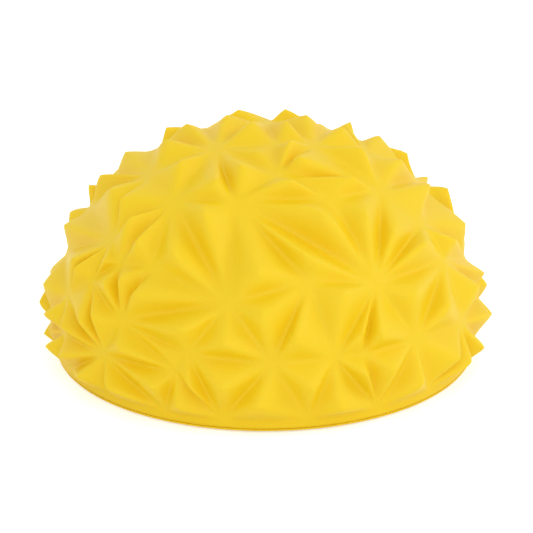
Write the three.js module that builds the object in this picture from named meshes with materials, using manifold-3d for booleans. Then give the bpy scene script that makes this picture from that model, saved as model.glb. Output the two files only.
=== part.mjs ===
// Textured half ball for balance play: a hollow soft plastic dome, moulded with a net of facets,
// on a flat base skin with a plugged air valve in its middle.
// Lengths are millimetres, +Z is up and z = 0 is the floor. Azimuth 0 is the front, along -Y,
// and azimuth 90 is the right, along +X. Angles are whole degrees, seen from the dome's centre.
import * as THREE from 'three';
import { ConvexHull } from 'three/addons/math/ConvexHull.js';
import { mergeVertices } from 'three/addons/utils/BufferGeometryUtils.js';
import Module from 'manifold-3d';

const wasm = await Module();
wasm.setup();

// Dome: the sphere that its tips reach, and the hollows between them
const tipRadius = 80;
const reliefDepth = 5.6;
const domeCentreHeight = 3.8;
const shoulderShare = 0.015;
const crownShare = 0.02;
const skinWall = 2;

// Rim: the smooth band that the lowest facets end on
const rimRadius = 73;
const rimTop = 5.2;
const rimShoulder = 1;
const rimHollowHeight = 4.8;
const rimWall = 3.5;
const seamHeight = 1.5;

// Base skin, welded inside the rim
const baseWall = 2;
const lipInset = 0.2;
const lipHeight = 0.9;
const footOuterRadius = 70;
const footWidth = 12;
const footSlope = 1.5;
const baseRecess = 1.2;
const flangeWall = 1.8;

// Valve in the middle of the base
const bossHeight = 11;
const bossWall = 2;
const seatRadius = 6;
const seatShoulderWidth = 2;
const seatShoulderHeight = 1.6;
const plugRecess = 0.6;
const plugHeadRadius = 6.4;
const plugHeadHeight = 1.6;
const plugHeadBevel = 0.5;
const plugShankRadius = 3.2;
const plugNoseRadius = 2.7;
const plugShankLength = 12;
const leadIn = 0.6;

// Clearances between neighbours, and how far a cut runs past a face
const fitGap = 0.3;
const plugGap = 0.2;
const headGap = 0.6;
const cutOverrun = 1;

// Round steps of the large skins and of the small valve
const skinSteps = 72;
const valveSteps = 24;

// Hollows of the net, front and sides: azimuth, latitude and, where it isn't 1, the share by which
// the folds from that hollow reach further than its neighbours' do.
const hollowShares = [
  [-46, 11, 1.02], [-20, 17, 1.02], [-23, 12, 1.02], [2, 16, 1.02], [18, 16, 1.01], [26, 16], [43, 16],
  [65, 13], [89, 13], [-86, 6], [-66, 10], [-69, 19], [-93, 23], [92, 21],
  [-58, 27], [-42, 21, 1.01], [-10, 30, 1.04], [13, 35, 0.99], [34, 32, 1.04], [66, 30],
  [-99, 35], [-58, 38, 1.01], [-49, 34], [-36, 36, 0.99], [66, 41], [104, 43], [-104, 42],
  [-71, 58], [-42, 54, 1.02], [-14, 57, 1.03], [31, 56, 0.98], [60, 54, 1.02], [90, 62], [121, 60],
  [-115, 56], [-137, 67], [133, 66], [180, 74],
  [8, 67], [20, 82, 0.98], [-60, 75], [66, 76],
];

// Tips of the facets: azimuth, latitude and, where it isn't 1, the share of the relief that they stand up.
const tipShares = [
  [-84, 2, 0.5], [-77, 6, 0.4], [-70, 5, 0.9], [-60, 6], [-40, 5], [-27, 8], [-21, 4, 0.7], [-18, 9, 0.6],
  [-10, 10], [-2, 6, 0.8], [11, 10], [18, 4, 0.7], [32, 11], [55, 7], [68, 5], [88, 6], [-88, 9], [90, 16],
  [-52, 17], [-28, 17, 0.1], [-21, 22], [-10, 20], [-1, 27], [7, 22], [21, 31], [25, 21, 0.6], [29, 20],
  [42, 27], [53, 21], [70, 33], [-90, 30], [-65, 29], [-52, 33, 0.7], [-47, 28], [-37, 28], [-28, 39],
  [-42, 40], [-2, 37], [11, 41], [45, 42, 0.7], [54, 37], [85, 45], [-62, 47], [-50, 45], [-23, 51],
  [21, 51], [37, 48], [-22, 60], [-14, 66], [-8, 76, 0.3], [13, 61], [20, 69], [46, 58], [-102, 39],
  [-109, 50], [-120, 59], [-156, 71], [165, 72], [127, 64, 0.8], [146, 60, 0.2], [116, 57], [108, 48],
  [101, 38, 1.25], [131, 76],
];

// Azimuths of the hollows along the rim, front half.
const rimAzimuths = [-80, -62, -44, -26, -11, 11, 30, 47, 66, 84];

// A net triangle smaller than this share of the unit sphere's radius squared stays flat.
const flatTriangleShare = 0.012;
// The front's hollows are repeated on the unseen back where they keep this share of the radius apart.
const backSpacingShare = 0.18;
const frontAzimuth = 75;
const frontLatitude = 60;

// Colours and finish
const skinColour = '#f4ce2d';
const valveColour = '#efece2';
const skinRoughness = 0.5;
const valveRoughness = 0.6;

// Direction seen from the dome's centre.
function aimed(azimuth, latitude) {
  const a = THREE.MathUtils.degToRad(azimuth);
  const l = THREE.MathUtils.degToRad(latitude);
  return new THREE.Vector3(Math.cos(l) * Math.sin(a), -Math.cos(l) * Math.cos(a), Math.sin(l));
}

// Point at a distance from the dome's centre. The shoulder is a little fuller than a sphere, and the
// crown is a little flatter.
function domePoint(aim, radius) {
  const fullness = 1 + shoulderShare * (2 * aim.z) ** 2 * (1 - aim.z ** 2) - crownShare * aim.z ** 8;
  return aim.clone().multiplyScalar(radius * fullness).add(new THREE.Vector3(0, 0, domeCentreHeight));
}

// A knot of the net: its direction from the centre, and its point for a skin set in by some depth.
function hollowKnot([azimuth, latitude, reachShare = 1]) {
  const aim = aimed(azimuth, latitude);
  return { aim, reachShare, point: (inset) => domePoint(aim, tipRadius - reliefDepth - inset) };
}

function rimKnot(azimuth) {
  const level = aimed(azimuth, 0);
  const point = (inset) => level.clone().multiplyScalar(rimRadius - inset).setZ(rimHollowHeight);
  const aim = point(0).setZ(rimHollowHeight - domeCentreHeight).normalize();
  return { aim, reachShare: 1, point };
}

const underKnot = {
  aim: aimed(0, -90),
  reachShare: 1,
  point: () => new THREE.Vector3(0, 0, rimHollowHeight),
};

// The listed hollows, and the front's turned half round for the back.
function allHollows() {
  const knots = hollowShares.map(hollowKnot);
  for (const [azimuth, latitude, reachShare] of hollowShares) {
    if (Math.abs(azimuth) > frontAzimuth || latitude >= frontLatitude) continue;
    const turned = hollowKnot([azimuth + 180, latitude, reachShare]);
    if (knots.every((knot) => knot.aim.distanceTo(turned.aim) > backSpacingShare)) knots.push(turned);
  }
  return knots;
}

// The net's triangles: a hull round the knots' directions gives the folds between the hollows.
function netTriangles(knots) {
  const points = knots.map((knot) => knot.aim.clone().multiplyScalar(knot.reachShare));
  const hull = new ConvexHull().setFromPoints(points);
  return hull.faces.map((face) =>
    [face.edge.prev, face.edge, face.edge.next].map((edge) => points.indexOf(edge.head().point)));
}

// True where a direction passes through the triangle.
function passesThrough([a, b, c], aim) {
  const sides = [[a, b], [b, c], [c, a]];
  return sides.every(([from, to]) => from.clone().cross(to).dot(aim) > 0);
}

// The tip that a net triangle carries: a listed one, the same turned half round, or one over its middle.
function tipOf(corners) {
  for (const turn of [0, 180]) {
    for (const [azimuth, latitude, heightShare = 1] of tipShares) {
      const aim = aimed(azimuth + turn, latitude);
      if (passesThrough(corners, aim)) return { aim, heightShare };
    }
  }
  const [a, b, c] = corners;
  const area = b.clone().sub(a).cross(c.clone().sub(a)).length() / 2;
  if (area < flatTriangleShare) return null;
  return { aim: a.clone().add(b).add(c).normalize(), heightShare: 1 };
}

// The faceted body, with each knot and tip moved in towards the centre by the inset.
function facetBody(inset) {
  const rim = [0, 180].flatMap((turn) => rimAzimuths.map((azimuth) => rimKnot(azimuth + turn)));
  const knots = [...allHollows(), ...rim, underKnot];
  const points = knots.map((knot) => knot.point(inset));
  const under = knots.indexOf(underKnot);
  const triangles = [];
  for (const [a, b, c] of netTriangles(knots)) {
    const tip = [a, b, c].includes(under) ? null : tipOf([a, b, c].map((i) => knots[i].aim));
    if (!tip) {
      triangles.push(a, b, c);
      continue;
    }
    const top = points.length;
    points.push(domePoint(tip.aim, tipRadius - reliefDepth * (1 - tip.heightShare) - inset));
    triangles.push(a, b, top, b, c, top, c, a, top);
  }
  const geometry = new THREE.BufferGeometry().setFromPoints(points);
  geometry.setIndex(triangles);
  return geometry;
}

// A body turned round the upright axis from its outline of [radius, height] points.
function turned(outline, steps) {
  const geometry = new THREE.LatheGeometry(outline.map(([r, z]) => new THREE.Vector2(r, z)), steps);
  return geometry.rotateX(Math.PI / 2);
}

// Geometry with its shared corners merged, so that it closes.
function closed(geometry) {
  geometry.deleteAttribute('normal');
  geometry.deleteAttribute('uv');
  return mergeVertices(geometry);
}

function toSolid(geometry) {
  const merged = closed(geometry);
  return new wasm.Manifold(new wasm.Mesh({
    numProp: 3,
    vertProperties: merged.attributes.position.array,
    triVerts: new Uint32Array(merged.index.array),
  }));
}

function toGeometry(solid) {
  const mesh = solid.getMesh();
  const geometry = new THREE.BufferGeometry();
  geometry.setAttribute('position', new THREE.BufferAttribute(mesh.vertProperties, mesh.numProp));
  geometry.setIndex(new THREE.BufferAttribute(mesh.triVerts, 1));
  return geometry;
}

// Heights and radii that the pieces share
const domeBottom = seamHeight + fitGap / 2;
const lipTop = seamHeight - fitGap / 2;
const boreRadius = rimRadius - rimWall;
const flangeRadius = boreRadius - fitGap;
const flangeTop = rimHollowHeight - fitGap;
const plugHeadTop = plugRecess + plugHeadHeight;
const seatBottom = plugHeadTop + fitGap;
const bossRadius = seatRadius + fitGap;
const bossTop = baseRecess + baseWall + bossHeight;
const seatTop = bossTop + fitGap + seatShoulderHeight;

// Dome skin: the facets and the rim band, hollowed from below.
function domeSkin() {
  const band = turned([
    [0, domeBottom],
    [rimRadius, domeBottom],
    [rimRadius, rimTop - rimShoulder],
    [rimRadius - rimShoulder, rimTop],
    [0, rimTop],
  ], skinSteps);
  const bore = turned([
    [0, domeBottom - cutOverrun],
    [boreRadius, domeBottom - cutOverrun],
    [boreRadius, rimHollowHeight + cutOverrun],
    [0, rimHollowHeight + cutOverrun],
  ], skinSteps);
  const outside = toSolid(facetBody(0)).add(toSolid(band));
  return toGeometry(outside.subtract(toSolid(facetBody(skinWall))).subtract(toSolid(bore)));
}

// Base skin: a lip under the seam, a flat foot ring, a recessed middle, the weld flange that stands
// inside the rim, and the boss round the valve.
function baseSkin() {
  const lipRadius = rimRadius - lipInset;
  const footInnerRadius = footOuterRadius - footWidth;
  const recessRadius = footInnerRadius - footSlope;
  const wellRadius = plugHeadRadius + headGap;
  return closed(turned([
    [wellRadius, baseRecess],
    [recessRadius, baseRecess],
    [footInnerRadius, 0],
    [footOuterRadius, 0],
    [lipRadius, lipHeight],
    [lipRadius, lipTop],
    [flangeRadius, lipTop],
    [flangeRadius, flangeTop],
    [flangeRadius - flangeWall, flangeTop],
    [flangeRadius - flangeWall, baseWall],
    [footInnerRadius, baseWall],
    [recessRadius, baseRecess + baseWall],
    [bossRadius + bossWall, baseRecess + baseWall],
    [bossRadius + bossWall, bossTop],
    [bossRadius, bossTop],
    [bossRadius, seatBottom],
    [wellRadius, seatBottom],
    [wellRadius, baseRecess],
  ], skinSteps));
}

// Radius of the plug's shank at a height, from its head down to its nose.
function shankRadiusAt(height) {
  const share = (height - plugHeadTop) / plugShankLength;
  return plugShankRadius - (plugShankRadius - plugNoseRadius) * share;
}

// Valve seat: a soft sleeve whose shoulder rests on the boss, with a bore that follows the plug.
function valveSeat() {
  return closed(turned([
    [shankRadiusAt(seatBottom) + plugGap + leadIn, seatBottom],
    [seatRadius, seatBottom],
    [seatRadius, bossTop + fitGap],
    [seatRadius + seatShoulderWidth, bossTop + fitGap],
    [seatRadius + seatShoulderWidth, seatTop],
    [shankRadiusAt(seatTop) + plugGap, seatTop],
    [shankRadiusAt(seatBottom + leadIn) + plugGap, seatBottom + leadIn],
    [shankRadiusAt(seatBottom) + plugGap + leadIn, seatBottom],
  ], valveSteps));
}

// Valve plug: a low head in the base's recess and a shank that tapers to its nose.
function valvePlug() {
  const noseHeight = plugHeadTop + plugShankLength;
  return closed(turned([
    [0, plugRecess],
    [plugHeadRadius - plugHeadBevel, plugRecess],
    [plugHeadRadius, plugRecess + plugHeadBevel],
    [plugHeadRadius, plugHeadTop],
    [plugShankRadius, plugHeadTop],
    [shankRadiusAt(noseHeight - leadIn), noseHeight - leadIn],
    [plugNoseRadius - leadIn, noseHeight],
    [0, noseHeight],
  ], valveSteps));
}

function piece(name, geometry, color, roughness) {
  const mesh = new THREE.Mesh(geometry, new THREE.MeshStandardMaterial({ color, roughness, metalness: 0 }));
  mesh.name = name;
  return mesh;
}

const halfBall = new THREE.Group();
halfBall.add(piece('dome_skin', domeSkin(), skinColour, skinRoughness));
halfBall.add(piece('base_skin', baseSkin(), skinColour, skinRoughness));
halfBall.add(piece('valve_seat', valveSeat(), valveColour, valveRoughness));
halfBall.add(piece('valve_plug', valvePlug(), valveColour, valveRoughness));

export default halfBall;
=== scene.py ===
# %% [markdown]
# This is a textured half ball: a hollow pod of soft, air-filled PVC for stepping and balance play. Its
# dome is moulded with sharp hollows, folds that run between them, and a raised tip in nearly every cell of
# that net. Below the dome are a smooth rim band, a thin seam and a flat base skin with an air valve.

import math

import bmesh
import bpy
import numpy as np
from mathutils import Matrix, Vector


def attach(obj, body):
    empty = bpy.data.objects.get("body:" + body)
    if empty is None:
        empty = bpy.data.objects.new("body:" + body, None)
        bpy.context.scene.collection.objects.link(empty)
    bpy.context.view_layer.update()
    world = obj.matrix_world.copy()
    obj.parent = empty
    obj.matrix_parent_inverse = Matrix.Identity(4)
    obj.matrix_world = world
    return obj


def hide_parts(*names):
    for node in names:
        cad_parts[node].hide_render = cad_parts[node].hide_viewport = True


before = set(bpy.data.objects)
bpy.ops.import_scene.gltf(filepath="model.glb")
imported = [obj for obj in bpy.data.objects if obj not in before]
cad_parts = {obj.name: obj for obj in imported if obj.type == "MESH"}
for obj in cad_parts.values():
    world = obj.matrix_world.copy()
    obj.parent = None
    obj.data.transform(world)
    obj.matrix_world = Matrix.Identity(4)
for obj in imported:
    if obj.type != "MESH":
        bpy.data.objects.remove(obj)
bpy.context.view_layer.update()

# %% [markdown]
# The sizes below are those of the real pod, in millimetres as a mould maker would write them. Blender
# works in metres, so every mesh is scaled by MM once, when it is made. Angles are whole degrees seen from
# the dome's centre: azimuth 0 is the front, along -Y, and azimuth 90 is the right, along +X.

# %% Sizes of the dome and its rim
MM = 0.001
NEARLY_ZERO = 1e-6
TIP_RADIUS = 80
RELIEF_DEPTH = 5.6
HOLLOW_RADIUS = TIP_RADIUS - RELIEF_DEPTH
SKIN_WALL = 2
INNER_SHARE = 1 - SKIN_WALL / HOLLOW_RADIUS
DOME_CENTRE_HEIGHT = 3.8
SHOULDER_SHARE = 0.015
CROWN_SHARE = 0.02
RIM_RADIUS = 73
RIM_HOLLOW_HEIGHT = 4.8
RIM_WALL = 3.5
DOME_BOTTOM = 1.65
print("dome", 2 * TIP_RADIUS, "mm across its tips, rim", 2 * RIM_RADIUS, "mm")

# %% [markdown]
# The net is irregular, so no rule gives its hollows: they are listed by direction, read off the real
# object's front and sides. A third number lets the folds of one hollow reach further than its neighbours'
# do, which decides how a cell with four corners is divided. Tips are listed in the same way, with the share
# of the relief that they stand up, and the hollows along the rim need only an azimuth.

# %% The hollows, tips and rim hollows
HOLLOWS = [
    (-46, 11, 1.02), (-20, 17, 1.02), (-23, 12, 1.02), (2, 16, 1.02), (18, 16, 1.01), (26, 16), (43, 16),
    (65, 13), (89, 13), (-86, 6), (-66, 10), (-69, 19), (-93, 23), (92, 21),
    (-58, 27), (-42, 21, 1.01), (-10, 30, 1.04), (13, 35, 0.99), (34, 32, 1.04), (66, 30),
    (-99, 35), (-58, 38, 1.01), (-49, 34), (-36, 36, 0.99), (66, 41), (104, 43), (-104, 42),
    (-71, 58), (-42, 54, 1.02), (-14, 57, 1.03), (31, 56, 0.98), (60, 54, 1.02), (90, 62), (121, 60),
    (-115, 56), (-137, 67), (133, 66), (180, 74),
    (8, 67), (20, 82, 0.98), (-60, 75), (66, 76),
]
TIPS = [
    (-84, 2, 0.5), (-77, 6, 0.4), (-70, 5, 0.9), (-60, 6), (-40, 5), (-27, 8), (-21, 4, 0.7), (-18, 9, 0.6),
    (-10, 10), (-2, 6, 0.8), (11, 10), (18, 4, 0.7), (32, 11), (55, 7), (68, 5), (88, 6), (-88, 9), (90, 16),
    (-52, 17), (-28, 17, 0.1), (-21, 22), (-10, 20), (-1, 27), (7, 22), (21, 31), (25, 21, 0.6), (29, 20),
    (42, 27), (53, 21), (70, 33), (-90, 30), (-65, 29), (-52, 33, 0.7), (-47, 28), (-37, 28), (-28, 39),
    (-42, 40), (-2, 37), (11, 41), (45, 42, 0.7), (54, 37), (85, 45), (-62, 47), (-50, 45), (-23, 51),
    (21, 51), (37, 48), (-22, 60), (-14, 66), (-8, 76, 0.3), (13, 61), (20, 69), (46, 58), (-102, 39),
    (-109, 50), (-120, 59), (-156, 71), (165, 72), (127, 64, 0.8), (146, 60, 0.2), (116, 57), (108, 48),
    (101, 38, 1.25), (131, 76),
]
RIM_AZIMUTHS = [-80, -62, -44, -26, -11, 11, 30, 47, 66, 84]
print(len(HOLLOWS), "hollows,", len(TIPS), "tips,", len(RIM_AZIMUTHS), "rim hollows on the front")

# %% [markdown]
# The back doesn't show in the photograph, so the front's hollows are turned half round for it, wherever
# they keep some distance from the hollows that are there already.

# %% Turn the front's hollows onto the back
BACK_SPACING = 0.18
FRONT_AZIMUTH = 75
FRONT_LATITUDE = 60
CENTRE = np.array([0, 0, DOME_CENTRE_HEIGHT])


def aimed(azimuth, latitude):
    """Direction seen from the dome's centre."""
    a, b = math.radians(azimuth), math.radians(latitude)
    return np.array([math.cos(b) * math.sin(a), -math.cos(b) * math.cos(a), math.sin(b)])


def dome_point(aim, radius):
    """Point at a distance from the centre, with the shoulder a little full and the crown a little flat."""
    fullness = 1 + SHOULDER_SHARE * (2 * aim[2]) ** 2 * (1 - aim[2] ** 2) - CROWN_SHARE * aim[2] ** 8
    return CENTRE + aim * radius * fullness


knots = [(aimed(azimuth, latitude), (reach + [1])[0]) for azimuth, latitude, *reach in HOLLOWS]
for azimuth, latitude, *reach in HOLLOWS:
    if abs(azimuth) > FRONT_AZIMUTH or latitude >= FRONT_LATITUDE:
        continue
    aim = aimed(azimuth + 180, latitude)
    if all(np.linalg.norm(aim - other) > BACK_SPACING for other, _ in knots):
        knots.append((aim, (reach + [1])[0]))
points = [dome_point(aim, HOLLOW_RADIUS) for aim, _ in knots]
print(len(knots), "hollows all round")

# %% Add the rim's hollows and the middle of the underside
def rim_point(azimuth):
    """Place on the circle where the facets meet the band."""
    return aimed(azimuth, 0) * RIM_RADIUS + [0, 0, RIM_HOLLOW_HEIGHT]


rim_azimuths = [azimuth + turn for turn in (0, 180) for azimuth in RIM_AZIMUTHS]
FIRST_RIM = len(knots)
for azimuth in rim_azimuths:
    points.append(rim_point(azimuth))
    seen = points[-1] - CENTRE
    knots.append((seen / np.linalg.norm(seen), 1))
UNDER = len(knots)
knots.append((aimed(0, -90), 1))
print(len(knots), "knots in the net")

# %% [markdown]
# Which hollows are joined by a fold? A convex hull round the knots' directions answers that with triangles,
# and Blender's own hull operator finds it. The hull gives no heights: they come from the knots' real places.

# %% Find the cells of the net
def hull_cells(directions):
    """Triangles of the hull round some points, each turned to face outwards."""
    hull = bmesh.new()
    for direction in directions:
        hull.verts.new(direction)
    hull.verts.ensure_lookup_table()
    hull.verts.index_update()
    bmesh.ops.convex_hull(hull, input=hull.verts)
    bmesh.ops.triangulate(hull, faces=hull.faces)
    cells = []
    for face in hull.faces:
        corners = [vert.index for vert in face.verts]
        outwards = face.normal.dot(face.calc_center_median()) > 0
        cells.append(corners if outwards else corners[::-1])
    hull.free()
    return cells


cells = hull_cells([aim * reach for aim, reach in knots])
print(len(cells), "cells in the net")

# %% [markdown]
# Each cell carries at most one tip. It is a listed tip, or that tip turned half round, or else one over
# the cell's middle, while the smallest cells stay flat. The foot is where the line from the centre to the
# tip goes through the flat cell, and the lift is how far the tip stands off that foot.

# %% Choose each cell's tip
FLAT_CELL_AREA = 0.012


def tip_of(corners):
    """Direction and height share of the tip that a cell carries, or None."""
    a, b, c = (knots[i][0] for i in corners)
    for turn in (0, 180):
        for azimuth, latitude, *height in TIPS:
            aim = aimed(azimuth + turn, latitude)
            if min(np.dot(np.cross(p, q), aim) for p, q in ((a, b), (b, c), (c, a))) > 0:
                return aim, (height + [1])[0]
    middle = a + b + c
    small = np.linalg.norm(np.cross(b - a, c - a)) / 2 < FLAT_CELL_AREA
    return None if small else (middle / np.linalg.norm(middle), 1)


def foot_and_lift(corners, tip):
    """Barycentric shares of the tip's foot on the flat cell, and the way from the foot to the tip."""
    aim, height = tip
    a, b, c = (points[i] for i in corners)
    shares = np.linalg.solve(np.array([a - CENTRE, b - CENTRE, c - CENTRE]).T, aim)
    shares /= shares.sum()
    foot = shares @ np.array([a, b, c])
    top = dome_point(aim, HOLLOW_RADIUS + RELIEF_DEPTH * height)
    return shares, top - foot


tips = [None if UNDER in corners else tip_of(corners) for corners in cells]
print(sum(tip is not None for tip in tips), "cells carry a tip")

# %% [markdown]
# The relief follows a rule, so Geometry Nodes raise it. The script only lays out flat cells as fine
# triangles, with their edges along the ridges, and stores three attributes on the points. "rise" says how
# far a point is from each of the cell's three folds, from 0 on the fold to 1 over the foot. "lift" is the
# way up to the tip. "soft" says how freely a point may be smoothed. It is low at a hollow, which stays
# crisp, and high on the crown, where feet have rubbed the folds and ridges soft. The facets' skin is equally
# thick all over, so each cell is laid out twice: on its outer side, and again 2 mm further in.

# %% Lay out the flat cells
CELL_STEPS = 14


def grid(steps):
    """Barycentric shares of a triangle's fine points, and the small triangles between them."""
    rows = [(i, j) for i in range(steps + 1) for j in range(steps + 1 - i)]
    place = {key: n for n, key in enumerate(rows)}
    shares = np.array([(steps - i - j, i, j) for i, j in rows]) / steps
    small = []
    for i, j in rows:
        if i + j < steps:
            small.append((place[i, j], place[i + 1, j], place[i, j + 1]))
        if i + j < steps - 1:
            small.append((place[i + 1, j], place[i + 1, j + 1], place[i, j + 1]))
    return shares, np.array(small)


fine_shares, fine_faces = grid(CELL_STEPS)
print(len(fine_faces), "small triangles in a third of a cell")

# %% Gather the points, faces and attributes
# Crown heights are shares of the dome's height.
CRISP_REACH = 4
CRISP_SOFTNESS = 0.1
SIDE_SOFTNESS = 0.2
CROWN_FROM, CROWN_FULL = 0.5, 0.8
net_points, net_faces, rises, lifts, softs = [], [], [], [], []
LEVEL = np.zeros(3)


def add_points(places, rise, lift, soft, faces):
    """Adds some points with their attributes, and the faces between them."""
    start = sum(len(part) for part in net_points)
    net_points.append(places)
    rises.append(rise)
    lifts.append(np.repeat([lift], len(places), axis=0))
    softs.append(soft)
    net_faces.extend((np.array(faces) + start).tolist())


def rim_bow(corners, shares):
    """How far points of a cell on the rim move out, so that its lower edge follows the round band."""
    on_rim = [n for n in range(3) if corners[n] >= FIRST_RIM]
    if len(on_rim) < 2:
        return np.zeros((len(shares), 3))
    first, last = on_rim
    near = shares[:, first] + shares[:, last]
    along = shares[:, last] / np.maximum(near, NEARLY_ZERO)
    start, end = (rim_azimuths[corners[n] - FIRST_RIM] for n in (first, last))
    turn = (end - start + 180) % 360 - 180
    arc = np.array([rim_point(start + turn * share) for share in along])
    chord = np.outer(1 - along, points[corners[first]]) + np.outer(along, points[corners[last]])
    return (arc - chord) * (near ** 2)[:, None]


def inner(places):
    """The same places on the skin's inner side."""
    return CENTRE + (places - CENTRE) * INNER_SHARE


def add_patch(corners, patch, patch_rises, lift):
    """Adds one fine triangle of a cell, outside and inside. Its corners are shares of the cell's corners."""
    shares = fine_shares @ patch
    hollows = np.array([points[i] for i in corners])
    places = shares @ hollows + rim_bow(corners, shares)
    nearest = np.linalg.norm(places[:, None] - hollows, axis=2).min(axis=1)
    soft = np.clip(nearest / CRISP_REACH, CRISP_SOFTNESS, 1)
    heights = (places[:, 2] - DOME_CENTRE_HEIGHT) / HOLLOW_RADIUS
    crown = np.clip((heights - CROWN_FROM) / (CROWN_FULL - CROWN_FROM), 0, 1)
    soft *= SIDE_SOFTNESS + (1 - SIDE_SOFTNESS) * crown
    add_points(places, fine_shares @ patch_rises, lift, soft, fine_faces)
    add_points(inner(places), fine_shares @ patch_rises, lift * INNER_SHARE, soft, fine_faces[:, ::-1])


print("patches ready")

# %% Lay out every cell
for corners, tip in zip(cells, tips):
    if UNDER in corners:
        continue
    if tip is None:
        add_patch(corners, np.eye(3), np.zeros((3, 3)), LEVEL)
        continue
    foot, lift = foot_and_lift(corners, tip)
    corner_shares, corner_rises = np.eye(3), np.diag(1 / foot)
    for n in range(3):
        m = (n + 1) % 3
        patch = np.array([corner_shares[n], corner_shares[m], foot])
        add_patch(corners, patch, np.array([corner_rises[n], corner_rises[m], np.ones(3)]), lift)
print(len(net_faces), "fine triangles")

# %% [markdown]
# Below the facets the same skin goes on as a smooth rim band, turns in at the seam and comes back up inside,
# to where the facets' inner side begins. These rows use the same azimuths as the points along the facets'
# lower edges, so the skin closes without a gap. A row is a radius, a height and how freely it is smoothed.

# %% Add the band
BORE_RADIUS = RIM_RADIUS - RIM_WALL
BAND_ROWS = [
    (RIM_RADIUS, RIM_HOLLOW_HEIGHT, 1),
    (73.05, 4.4, 1), (73.1, 3.9, 0.6), (73.1, 3.3, 0), (73.05, 2.6, 0), (72.95, 2.05, 0), (72.7, 1.75, 0),
    (72.4, DOME_BOTTOM, 0), (71.2, DOME_BOTTOM, 0), (70.2, DOME_BOTTOM, 0), (BORE_RADIUS, 1.9, 0),
    (BORE_RADIUS, 3.3, 0), (BORE_RADIUS, 4.6, 0),
]
rim_order = sorted(azimuth % 360 for azimuth in rim_azimuths)
ring = [start + ((end - start) % 360) * n / CELL_STEPS
        for start, end in zip(rim_order, rim_order[1:] + rim_order[:1]) for n in range(CELL_STEPS)]
places = [aimed(azimuth, 0) * r + [0, 0, z] for r, z, _ in BAND_ROWS for azimuth in ring]
places += [inner(rim_point(azimuth)) for azimuth in ring]
soft = [soft for _, _, soft in BAND_ROWS for _ in ring] + [1] * len(ring)
size = len(ring)
faces = []
for row in range(len(BAND_ROWS)):
    for n in range(size):
        upper, lower, m = row * size, (row + 1) * size, (n + 1) % size
        faces += [(upper + n, lower + n, lower + m), (upper + n, lower + m, upper + m)]
add_points(np.array(places), np.zeros((len(places), 3)), LEVEL, np.array(soft), faces)
print(len(BAND_ROWS) + 1, "rows of", size, "points")

# %% Make the flat net's mesh
def put_mesh(name, mesh):
    """Links a new object that holds the mesh."""
    thing = bpy.data.objects.new(name, mesh)
    bpy.context.scene.collection.objects.link(thing)
    return thing


flat = bpy.data.meshes.new("flat_net")
flat.from_pydata(np.vstack(net_points) * MM, [], net_faces)
for name, values in (("rise", np.vstack(rises)), ("lift", np.vstack(lifts) * MM)):
    flat.attributes.new(name, "FLOAT_VECTOR", "POINT").data.foreach_set("vector", values.ravel())
flat.attributes.new("soft", "FLOAT", "POINT").data.foreach_set("value", np.concatenate(softs))
dome = put_mesh("dome_skin_moulding", flat)
print("flat net:", len(flat.vertices), "points")

# %% [markdown]
# Every finish is a node material, so that it follows the piece in any view. A soft PVC skin is coloured
# through, a little translucent, and has the fine matt grain of its mould. Here the grain is a bump with
# spots of about a third of a millimetre, the gloss drifts slowly over the surface, and the colour is
# painted a touch darker in the hollows than on the tips, as painted shade.

# %% Helpers for node trees
def node(tree, kind, values=(), **settings):
    """Adds a node, sets its options, then its inputs: a number or colour, or another node's output."""
    new = tree.nodes.new(kind)
    for key, value in settings.items():
        setattr(new, key, value)
    for key, value in dict(values).items():
        if isinstance(value, bpy.types.NodeSocket):
            tree.links.new(value, new.inputs[key])
        else:
            new.inputs[key].default_value = value
    return new


def maths(tree, operation, first, second=0.0, third=0.0):
    """One Math node, and its output."""
    return node(tree, "ShaderNodeMath", {0: first, 1: second, 2: third}, operation=operation).outputs[0]


print("node helpers ready")

# %% Helpers for finishes
GRAIN_PER_METRE = 2600
GRAIN_HEIGHT = 0.00004


def new_material(name):
    """A material, its node tree and its main shader."""
    material = bpy.data.materials.new(name)
    material.use_nodes = True
    return material, material.node_tree, material.node_tree.nodes["Principled BSDF"]


def colour_by(tree, shader, value, first, last, *between):
    """Lets the base colour follow a value. Each stop is a position and a colour."""
    ramp = node(tree, "ShaderNodeValToRGB", {"Fac": value})
    stops = ramp.color_ramp.elements
    for stop, (position, colour) in zip(stops, (first, last)):
        stop.position, stop.color = position, colour
    for position, colour in between:
        stops.new(position).color = colour
    tree.links.new(ramp.outputs["Color"], shader.inputs["Base Color"])


def roughness_by(tree, shader, value, lowest, highest):
    """Lets the roughness follow a value between two limits."""
    rough = node(tree, "ShaderNodeMapRange", {"Value": value, "To Min": lowest, "To Max": highest})
    tree.links.new(rough.outputs["Result"], shader.inputs["Roughness"])


def mould_grain(tree, shader, place, strength):
    """Gives the surface the fine bumps of its mould."""
    grain = node(tree, "ShaderNodeTexNoise", {"Vector": place, "Scale": GRAIN_PER_METRE, "Detail": 2.0})
    bump = node(tree, "ShaderNodeBump", {
        "Height": grain.outputs["Fac"], "Strength": strength, "Distance": GRAIN_HEIGHT})
    tree.links.new(bump.outputs["Normal"], shader.inputs["Normal"])


print("finish helpers ready")

# %% The soft skin's material
# The darkest skin colour is painted shade for the hollows, and the palest goes on the tips.
SKIN_HOLLOW_SHADE = (0.923, 0.63, 0.007, 1)
SKIN_MID = (0.932, 0.643, 0.008, 1)
SKIN_PALE = (0.938, 0.653, 0.01, 1)
SKIN_MIDDLE = 0.45
SKIN_ROUGHNESS = (0.46, 0.58)
SKIN_GLOSS = 0.33
SKIN_GRAIN = 0.5
SKIN_SCATTER = 0.15
SCATTER_COLOUR = (1.0, 0.55, 0.12)
SCATTER_DEPTH = 0.003
DRIFT_PER_METRE = 45
DRIFT_SHARE = 0.25
HOLLOW_SHADE_SHIFT = 0.12


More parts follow.
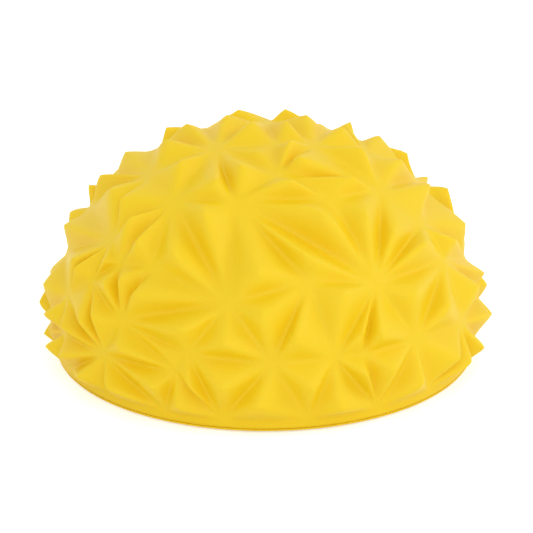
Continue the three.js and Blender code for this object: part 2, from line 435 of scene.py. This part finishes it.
def soft_skin():
    """Yellow satin PVC with a fine mould grain and painted shade in the hollows."""
    material, tree, shader = new_material("soft_skin")
    place = node(tree, "ShaderNodeTexCoord").outputs["Object"]
    noise = node(tree, "ShaderNodeTexNoise", {"Vector": place, "Scale": DRIFT_PER_METRE, "Detail": 3.0})
    drift = noise.outputs["Fac"]
    reach = node(tree, "ShaderNodeVectorMath", {0: place, 1: CENTRE * MM}, operation="DISTANCE")
    height = node(tree, "ShaderNodeMapRange", {
        "Value": reach.outputs["Value"], "From Min": (HOLLOW_RADIUS - 1) * MM,
        "From Max": TIP_RADIUS * MM}).outputs["Result"]
    # The reach from the centre paints shade into the hollows, and the slow noise adds random tone.
    mixed = maths(tree, "MULTIPLY_ADD", drift, DRIFT_SHARE, maths(tree, "SUBTRACT", height, HOLLOW_SHADE_SHIFT))
    colour_by(tree, shader, mixed, (0, SKIN_HOLLOW_SHADE), (1, SKIN_PALE), (SKIN_MIDDLE, SKIN_MID))
    roughness_by(tree, shader, drift, *SKIN_ROUGHNESS)
    mould_grain(tree, shader, place, SKIN_GRAIN)
    shader.inputs["Specular IOR Level"].default_value = SKIN_GLOSS
    shader.inputs["Subsurface Weight"].default_value = SKIN_SCATTER
    shader.inputs["Subsurface Radius"].default_value = SCATTER_COLOUR
    shader.inputs["Subsurface Scale"].default_value = SCATTER_DEPTH
    return material


SKIN = soft_skin()
print("material:", SKIN.name)

# %% The valve's material
VALVE_SHADE = (0.74, 0.71, 0.60, 1)
VALVE_COLOUR = (0.86, 0.84, 0.76, 1)
VALVE_SHADE_UP_TO, VALVE_COLOUR_FROM = 0.2, 0.6
VALVE_ROUGHNESS = (0.38, 0.50)
VALVE_GRAIN = 0.3
VALVE_SCATTER = 0.25
VALVE_SCATTER_DEPTH = 0.002
CLOUDS_PER_METRE = 180


def valve_plastic():
    """Milky soft plastic of the valve seat and plug."""
    material, tree, shader = new_material("valve_plastic")
    place = node(tree, "ShaderNodeTexCoord").outputs["Object"]
    noise = node(tree, "ShaderNodeTexNoise", {"Vector": place, "Scale": CLOUDS_PER_METRE, "Detail": 2.0})
    cloud = noise.outputs["Fac"]
    colour_by(tree, shader, cloud, (VALVE_SHADE_UP_TO, VALVE_SHADE), (VALVE_COLOUR_FROM, VALVE_COLOUR))
    roughness_by(tree, shader, cloud, *VALVE_ROUGHNESS)
    mould_grain(tree, shader, place, VALVE_GRAIN)
    shader.inputs["Subsurface Weight"].default_value = VALVE_SCATTER
    shader.inputs["Subsurface Scale"].default_value = VALVE_SCATTER_DEPTH
    return material


VALVE = valve_plastic()
print("material:", VALVE.name)

# %% [markdown]
# Now the tree that raises the relief. A plain pyramid would take the smallest of a point's three rises. A
# power mean with a negative power does the same but rounds the ridges where two rises are alike. A second
# term makes each facet bulge under the air pressure, and a slow noise keeps them from being too even. At
# the end some rounds of smoothing take the edge off the folds, as in soft plastic.

# %% Build the relief tree
RELIEF_INPUTS = [
    ("Ridge sharpness", "NodeSocketFloat", 6.0),
    ("Bulge", "NodeSocketFloat", 0.05),
    ("Softening steps", "NodeSocketInt", 8),
    ("Unevenness", "NodeSocketFloat", 0.00025),
    ("Weld distance", "NodeSocketFloat", 0.00001),
    ("Finish", "NodeSocketMaterial", SKIN),
]
SMALLEST_RISE = 0.001
UNEVEN_PER_METRE = 70


def new_tree(name, inputs):
    """A geometry tree with one mesh in, one out, and named inputs."""
    tree = bpy.data.node_groups.new(name, "GeometryNodeTree")
    tree.interface.new_socket(name="Mesh", in_out="INPUT", socket_type="NodeSocketGeometry")
    tree.interface.new_socket(name="Mesh", in_out="OUTPUT", socket_type="NodeSocketGeometry")
    for label, kind, value in inputs:
        socket = tree.interface.new_socket(name=label, in_out="INPUT", socket_type=kind)
        if kind != "NodeSocketMaterial":
            socket.default_value = value
    return tree, node(tree, "NodeGroupInput").outputs, node(tree, "NodeGroupOutput").inputs


relief, given, result = new_tree("raised_facets", RELIEF_INPUTS)
print("tree:", relief.name)

# %% The rounded height of a point
def stored(name, data_type):
    """Output of a node that reads one of the stored attributes."""
    return node(relief, "GeometryNodeInputNamedAttribute", {"Name": name}, data_type=data_type).outputs[0]


rise, lift = stored("rise", "FLOAT_VECTOR"), stored("lift", "FLOAT_VECTOR")
axes = node(relief, "ShaderNodeSeparateXYZ", {0: rise}).outputs
power = maths(relief, "MULTIPLY", given["Ridge sharpness"], -1.0)
parts = [maths(relief, "POWER", maths(relief, "MAXIMUM", axis, SMALLEST_RISE), power) for axis in axes]
total = maths(relief, "ADD", maths(relief, "ADD", parts[0], parts[1]), parts[2])
# Over the foot all three rises are 1, so dividing by 3 there brings the rounded tip back to its full height.
share = maths(relief, "POWER", maths(relief, "DIVIDE", total, 3.0), maths(relief, "DIVIDE", 1.0, power))
swell = maths(relief, "MULTIPLY_ADD", maths(relief, "SUBTRACT", 1.0, share), given["Bulge"], 1.0)
raised = maths(relief, "MULTIPLY", share, swell)
print("rounded height ready")

# %% Move the points, close the mesh and give it its finish
spot = node(relief, "GeometryNodeInputPosition").outputs[0]
wave = node(relief, "ShaderNodeTexNoise", {"Vector": spot, "Scale": UNEVEN_PER_METRE, "Detail": 1.0})
centred = maths(relief, "SUBTRACT", wave.outputs["Fac"], 0.5)
ripple = maths(relief, "MULTIPLY", centred, given["Unevenness"])
outwards = node(relief, "ShaderNodeVectorMath", {0: lift}, operation="NORMALIZE").outputs[0]
up = node(relief, "ShaderNodeVectorMath", {0: lift, "Scale": raised}, operation="SCALE").outputs[0]
nudge = node(relief, "ShaderNodeVectorMath", {
    0: outwards, "Scale": maths(relief, "MULTIPLY", ripple, share)}, operation="SCALE").outputs[0]
offset = node(relief, "ShaderNodeVectorMath", {0: up, 1: nudge}, operation="ADD").outputs[0]
moved = node(relief, "GeometryNodeSetPosition", {"Geometry": given["Mesh"], "Offset": offset}).outputs[0]
welded = node(relief, "GeometryNodeMergeByDistance", {
    "Geometry": moved, "Distance": given["Weld distance"]}).outputs[0]
here = node(relief, "GeometryNodeInputPosition").outputs[0]
blurred = node(relief, "GeometryNodeBlurAttribute", data_type="FLOAT_VECTOR")
relief.links.new(here, blurred.inputs["Value"])
relief.links.new(given["Softening steps"], blurred.inputs["Iterations"])
relief.links.new(stored("soft", "FLOAT"), blurred.inputs["Weight"])
softened = node(relief, "GeometryNodeSetPosition", {"Geometry": welded, "Position": blurred.outputs[0]})
real = node(relief, "GeometryNodeRealizeInstances", {"Geometry": softened.outputs[0]}).outputs[0]
done = node(relief, "GeometryNodeSetMaterial", {"Geometry": real, "Material": given["Finish"]}).outputs[0]
relief.links.new(done, result["Mesh"])
print("relief tree has", len(relief.nodes), "nodes")

# %% Run the tree
def run_tree(thing, tree, inputs):
    """Puts the tree on the object with these inputs, and keeps the result as a plain mesh."""
    modifier = thing.modifiers.new(tree.name, "NODES")
    modifier.node_group = tree
    sockets = {item.name: item.identifier for item in tree.interface.items_tree if item.in_out == "INPUT"}
    for label, _, value in inputs:
        modifier[sockets[label]] = value
    bake_modifiers(thing)


def bake_modifiers(thing):
    """Turns what the modifiers make into the object's own mesh, and removes them."""
    graph = bpy.context.evaluated_depsgraph_get()
    old = thing.data
    thing.data = bpy.data.meshes.new_from_object(thing.evaluated_get(graph), depsgraph=graph)
    thing.modifiers.clear()
    bpy.data.meshes.remove(old)


run_tree(dome, relief, RELIEF_INPUTS)
print("dome:", len(dome.data.vertices), "points,", len(dome.data.polygons), "faces")

# %% [markdown]
# The base skin and the valve are round, so each is an outline turned round the upright axis. Moulded soft
# plastic has no sharp edges, so each free corner of an outline is first rounded by its own small radius. An
# outline's rows are a radius, a height and that corner radius. A lathe of mesh code is used here and not the
# Screw modifier, because it closes its own poles and seam.

# %% Helpers for turned pieces
ARC_STEPS = 5


def rounded(outline):
    """Outline points (radius, height, corner radius) with each corner replaced by an arc."""
    smooth = []
    for n, (r, z, corner) in enumerate(outline):
        here = Vector((r, z))
        before, after = Vector(outline[n - 1][:2]), Vector(outline[(n + 1) % len(outline)][:2])
        if not corner:
            smooth.append(here)
            continue
        start, end = (before - here).normalized(), (after - here).normalized()
        half = start.angle(end) / 2
        reach = corner / math.tan(half)
        first, last = here + start * reach, here + end * reach
        middle = here + (start + end).normalized() * corner / math.sin(half)
        for step in range(ARC_STEPS + 1):
            spoke = (first - middle).lerp(last - middle, step / ARC_STEPS)
            smooth.append(middle + spoke.normalized() * corner)
    return smooth


def lathe(name, outline, steps):
    """Closed body turned round the upright axis from a closed outline of (radius, height, corner radius)."""
    ring = rounded(outline)
    body = bmesh.new()
    rows = []
    for r, z in ring:
        if r < NEARLY_ZERO:
            rows.append([body.verts.new((0, 0, z * MM))] * steps)
            continue
        turns = [2 * math.pi * n / steps for n in range(steps)]
        places = [(r * math.cos(turn) * MM, r * math.sin(turn) * MM, z * MM) for turn in turns]
        rows.append([body.verts.new(place) for place in places])
    for row, following in zip(rows, rows[1:] + rows[:1]):
        for n in range(steps):
            m = (n + 1) % steps
            corners = list(dict.fromkeys([row[n], row[m], following[m], following[n]]))
            if len(corners) > 2:
                body.faces.new(corners)
    bmesh.ops.recalc_face_normals(body, faces=body.faces)
    mesh = bpy.data.meshes.new(name)
    body.to_mesh(mesh)
    body.free()
    return put_mesh(name, mesh)


print("lathe ready")

# %% [markdown]
# Smooth shading carries light over the rounded ridges and folds. Only where the bend between two faces is
# far too great to be a rounding is the edge marked sharp.

# %% Shade a piece
CORNER_ANGLE = 40
TURNED_STEPS = 180


def shade(thing, material):
    """Smooth shading with sharp corners, faces that point outwards, and the finish."""
    body = bmesh.new()
    body.from_mesh(thing.data)
    bmesh.ops.recalc_face_normals(body, faces=body.faces)
    open_edges = sum(len(edge.link_faces) != 2 for edge in body.edges)
    for face in body.faces:
        face.smooth = True
        face.material_index = 0
    for edge in body.edges:
        edge.smooth = math.degrees(edge.calc_face_angle(0)) < CORNER_ANGLE
    sharp = sum(not edge.smooth for edge in body.edges)
    body.to_mesh(thing.data)
    volume = body.calc_volume() / (10 * MM) ** 3
    body.free()
    thing.data.materials.clear()
    thing.data.materials.append(material)
    return f"{sharp} sharp edges, {open_edges} open edges, {volume:.1f} cm3"


print("dome:", shade(dome, SKIN))

# %% [markdown]
# The base skin is a shallow tray: a thin lip under the seam, a flat foot ring that the pod stands on, a
# recessed middle that keeps the valve off the floor, and a boss round the valve.

# %% Base skin
BASE_RECESS = 1.2
BASE_WALL = 2
RECESS_RADIUS = 56.5
FOOT_INNER_RADIUS = 58
FOOT_OUTER_RADIUS = 70
LIP_RADIUS = RIM_RADIUS - 0.2
LIP_TOP = 1.5
WELD_RADIUS = 72.3
FLANGE_RADIUS = BORE_RADIUS - 0.3
FLANGE_WALL = 1.8
FLANGE_TOP = 4.5
BOSS_RADIUS = 6.3
BOSS_WALL = 2
BOSS_TOP = 14.2
WELL_RADIUS = 7
SEAT_BOTTOM = 2.5

base = lathe("base_skin_moulding", [
    (WELL_RADIUS, BASE_RECESS, 0.5), (RECESS_RADIUS, BASE_RECESS, 1.5), (FOOT_INNER_RADIUS, 0, 0.8),
    (FOOT_OUTER_RADIUS, 0, 1.6), (LIP_RADIUS, 0.9, 0.6), (LIP_RADIUS, LIP_TOP, 0.15),
    (WELD_RADIUS, LIP_TOP, 0.1), (WELD_RADIUS, DOME_BOTTOM, 0), (FLANGE_RADIUS, DOME_BOTTOM, 0),
    (FLANGE_RADIUS, FLANGE_TOP, 0.5), (FLANGE_RADIUS - FLANGE_WALL, FLANGE_TOP, 0.5),
    (FLANGE_RADIUS - FLANGE_WALL, BASE_WALL, 0.4), (FOOT_INNER_RADIUS, BASE_WALL, 1),
    (RECESS_RADIUS, BASE_RECESS + BASE_WALL, 1), (BOSS_RADIUS + BOSS_WALL, BASE_RECESS + BASE_WALL, 1),
    (BOSS_RADIUS + BOSS_WALL, BOSS_TOP, 0.6), (BOSS_RADIUS, BOSS_TOP, 0.3),
    (BOSS_RADIUS, SEAT_BOTTOM, 0), (WELL_RADIUS, SEAT_BOTTOM, 0)], TURNED_STEPS)
print("base:", shade(base, SKIN))

# %% [markdown]
# The valve is two small turned pieces. The seat is a sleeve whose shoulder rests on the boss, and its bore
# follows the plug. The plug has a low head with rounded edges and a shank that tapers to its nose.

# %% Valve seat and plug
VALVE_STEPS = 72
SEAT_RADIUS = 6
SHOULDER_RADIUS = 8
SHOULDER_BOTTOM = 14.5
SEAT_TOP = 16.1
HEAD_BOTTOM = 0.6
HEAD_TOP = 2.2
HEAD_RADIUS = 6.4
SHANK_RADIUS = 3.2
NOSE_TOP = 14.2

seat = lathe("valve_seat_sleeve", [
    (3.96, SEAT_BOTTOM, 0.2), (SEAT_RADIUS, SEAT_BOTTOM, 0.3), (SEAT_RADIUS, SHOULDER_BOTTOM, 0.2),
    (SHOULDER_RADIUS, SHOULDER_BOTTOM, 0.3), (SHOULDER_RADIUS, SEAT_TOP, 0.5), (2.83, SEAT_TOP, 0.3),
    (3.34, 3.1, 0.3)], VALVE_STEPS)
plug = lathe("valve_plug_stopper", [
    (0, HEAD_BOTTOM, 0), (HEAD_RADIUS, HEAD_BOTTOM, 0.7), (HEAD_RADIUS, HEAD_TOP, 0.4),
    (SHANK_RADIUS, HEAD_TOP, 0.2), (2.73, 13.6, 0.4), (2.1, NOSE_TOP, 0.3), (0, NOSE_TOP, 0)], VALVE_STEPS)
print("seat:", shade(seat, VALVE))
print("plug:", shade(plug, VALVE))

# %% [markdown]
# Each piece now stands for its CAD node, and rides on the body that the node belongs to. The slot is the
# material that the record lists for it.

# %% Put the pieces on the frame
for piece, cad_node, body, slot in (
        (dome, "dome_skin", "pod", "soft_skin"), (base, "base_skin", "pod", "soft_skin"),
        (seat, "valve_seat", "pod", "valve_plastic"), (plug, "valve_plug", "plug", "valve_plastic")):
    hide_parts(cad_node)
    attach(piece, body)
    print(piece.name, "stands for", cad_node, "and rides on", body)

# %% [markdown]
# The stage is a plain white floor. For the camera it shows as white as the backdrop, but it still takes the
# pod's soft shadow. From below it is clear, so that the base and the valve can be looked at.

# %% Floor and backdrop
FLOOR_SIZE = 6
FLOOR_GLOW = 0.5
FLOOR_COLOUR = (0.92, 0.92, 0.92, 1)
FLOOR_ROUGHNESS = 0.9
FLOOR_GLOSS = 0.1


def floor_material():
    """Matt white that looks white to the camera and keeps a soft shadow, and is clear from below."""
    material, tree, shader = new_material("studio_floor")
    shader.inputs["Base Color"].default_value = FLOOR_COLOUR
    shader.inputs["Roughness"].default_value = FLOOR_ROUGHNESS
    shader.inputs["Specular IOR Level"].default_value = FLOOR_GLOSS
    paths = node(tree, "ShaderNodeLightPath").outputs
    seen = maths(tree, "MAXIMUM", paths["Is Camera Ray"], paths["Is Glossy Ray"])
    strength = maths(tree, "MULTIPLY", seen, FLOOR_GLOW)
    glow = node(tree, "ShaderNodeEmission", {"Strength": strength})
    both = node(tree, "ShaderNodeAddShader", {0: shader.outputs[0], 1: glow.outputs[0]})
    behind = node(tree, "ShaderNodeNewGeometry").outputs["Backfacing"]
    clear = node(tree, "ShaderNodeBsdfTransparent")
    sided = node(tree, "ShaderNodeMixShader", {0: behind, 1: both.outputs[0], 2: clear.outputs[0]})
    tree.links.new(sided.outputs[0], tree.nodes["Material Output"].inputs["Surface"])
    return material


bpy.ops.mesh.primitive_plane_add(size=FLOOR_SIZE)
floor = bpy.context.object
floor.name = "studio_floor"
floor.data.materials.append(floor_material())
print("floor:", FLOOR_SIZE, "m")

# %% [markdown]
# The photograph was lit nearly evenly from all round, with a little more light from the right, so its facets
# differ by a few shades only. The world gives the even light and is white to the camera. A lamp's row is its
# name, its direction, its distance and size in metres, and its power in watts.

# %% World
WORLD_LEVEL = 0.855

world = bpy.data.worlds.new("studio")
world.use_nodes = True
bpy.context.scene.world = world
sky = world.node_tree
paths = node(sky, "ShaderNodeLightPath").outputs
mirrored = maths(sky, "MAXIMUM", paths["Is Glossy Ray"], paths["Is Transmission Ray"])
seen = maths(sky, "MAXIMUM", paths["Is Camera Ray"], mirrored)
level = node(sky, "ShaderNodeMapRange", {"Value": seen, "To Min": WORLD_LEVEL, "To Max": 1.0})
sky.nodes["Background"].inputs["Color"].default_value = (1, 1, 1, 1)
sky.links.new(level.outputs["Result"], sky.nodes["Background"].inputs["Strength"])
print("world level", WORLD_LEVEL)

# %% Lamps
TARGET = Vector((0, 0, 0.032))
LAMPS = [
    ("key", (0.9, -0.1, 0.55), 1.2, 0.5, 1.6),
    ("front_fill", (0.1, -1.0, 0.45), 1.5, 1.2, 2.8),
]
for name, way, distance, size, watts in LAMPS:
    lamp = bpy.data.lights.new(name, "AREA")
    lamp.shape, lamp.size, lamp.energy = "DISK", size, watts
    holder = bpy.data.objects.new(name, lamp)
    bpy.context.scene.collection.objects.link(holder)
    holder.location = TARGET + Vector(way).normalized() * distance
    holder.rotation_euler = Vector(way).to_track_quat("Z", "Y").to_euler()
    print("lamp", name, watts, "W")

# %% [markdown]
# The camera stands where the photographer's did: in front of the pod, about 21 degrees above the floor, with
# a long lens. The small shift puts the pod where it lies in the photograph's frame.

# %% Camera
CAMERA_ELEVATION = math.radians(21.26)
CAMERA_DISTANCE = 0.72
CAMERA_NEAREST = 0.05
SENSOR_WIDTH = 36
LENS_LENGTH = 140.45
SHIFT_X, SHIFT_Y = 0.003, -0.0163

camera = bpy.data.objects.new("camera", bpy.data.cameras.new("camera"))
bpy.context.scene.collection.objects.link(camera)
camera.data.sensor_width = SENSOR_WIDTH
camera.data.lens = LENS_LENGTH
camera.data.shift_x, camera.data.shift_y = SHIFT_X, SHIFT_Y
camera.data.clip_start = CAMERA_NEAREST
way = Vector((0, -math.cos(CAMERA_ELEVATION), math.sin(CAMERA_ELEVATION)))
camera.location = TARGET + way * CAMERA_DISTANCE
camera.rotation_euler = way.to_track_quat("Z", "Y").to_euler()
bpy.context.scene.camera = camera
bpy.context.scene.view_settings.view_transform = "Standard"
print("camera at", [round(v, 3) for v in camera.location])
